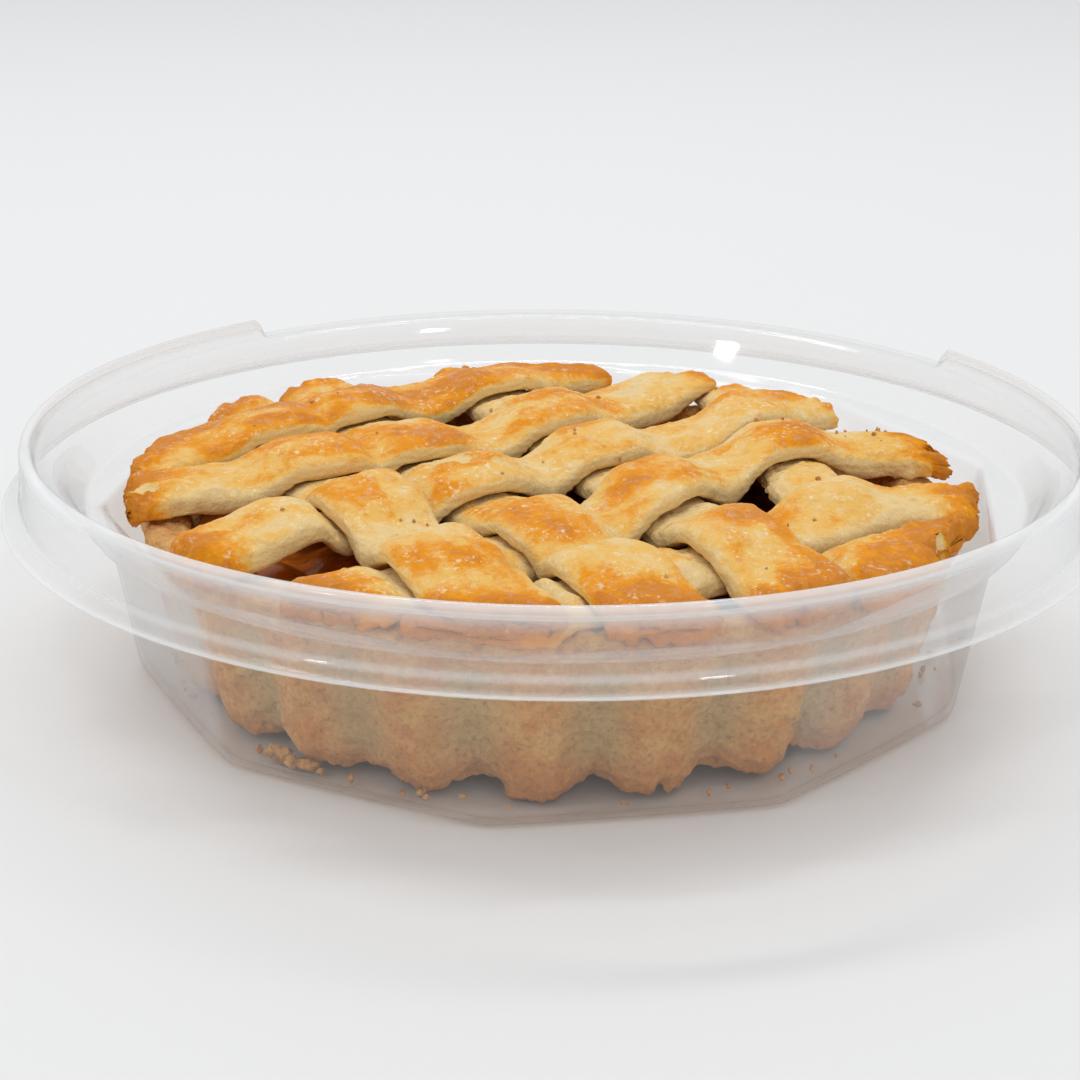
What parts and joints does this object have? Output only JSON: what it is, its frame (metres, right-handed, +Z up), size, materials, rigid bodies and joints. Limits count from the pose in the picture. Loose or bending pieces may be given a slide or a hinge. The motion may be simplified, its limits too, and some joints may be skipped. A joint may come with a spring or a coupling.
{
  "type": "lattice apple pie in a clear tub",
  "caption": "Small round apple pie with a woven lattice of glazed pastry strips over cooked apple, standing in an open clear plastic tub.",
  "frame": {"origin": "middle of the tub's underside, on the surface that the tub stands on", "axes": "+Z up, out of the tub's mouth; -Y toward the viewer of the picture; +X to that viewer's right"},
  "size_m": [0.1664, 0.1664, 0.0375],
  "materials": {
    "clear_plastic": "thin clear thermoformed plastic, glossy",
    "baked_crust": "matte baked shortcrust, fine crumb",
    "glazed_pastry": "egg-glazed pastry, glossy on top and matte at the sides",
    "cooked_apple": "wet dark red-brown cooked apple"
  },
  "bodies": {
    "root": {"tub": "clear_plastic", "pastry_shell": "baked_crust", "apple_filling": "cooked_apple", "strip_long_1": "glazed_pastry", "strip_long_2": "glazed_pastry", "strip_long_3": "glazed_pastry", "strip_long_4": "glazed_pastry", "strip_long_5": "glazed_pastry", "strip_long_6": "glazed_pastry", "strip_cross_1": "glazed_pastry", "strip_cross_2": "glazed_pastry", "strip_cross_3": "glazed_pastry", "strip_cross_4": "glazed_pastry"}
  },
  "joints": []
}
